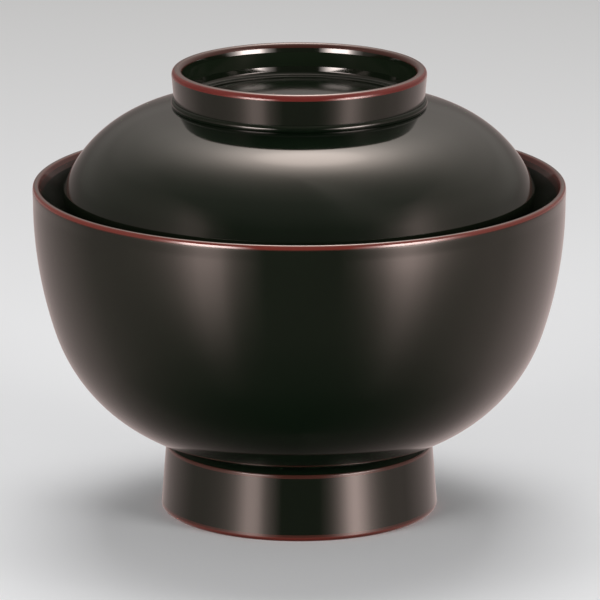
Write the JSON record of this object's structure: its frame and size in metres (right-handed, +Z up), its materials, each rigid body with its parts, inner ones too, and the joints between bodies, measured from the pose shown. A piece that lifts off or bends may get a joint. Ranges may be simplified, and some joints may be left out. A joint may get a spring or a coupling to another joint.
{
  "type": "lidded soup bowl",
  "caption": "Round lacquered wooden soup bowl on a flared foot ring, with a domed lid that sits inside the rim and lifts off by a low grip ring.",
  "frame": {"origin": "centre of the table plane under the foot ring", "axes": "+Z up along the turning axis, out through the grip ring; X and Y are free"},
  "size_m": [0.1204, 0.1204, 0.1018],
  "materials": {
    "brown_black_lacquer": "turned wood under polished brown-black lacquer, black inside, with thin red lacquer on the lips and the foot's edge"
  },
  "bodies": {
    "bowl": {"bowl_body": "brown_black_lacquer", "foot_ring": "brown_black_lacquer"},
    "lid": {"lid_dome": "brown_black_lacquer", "grip_ring": "brown_black_lacquer"}
  },
  "joints": [
    {"name": "lid_lift", "type": "slide", "parent": "bowl", "child": "lid", "axis": [0, 0, 1], "range_m": [0, 0.08]}
  ]
}
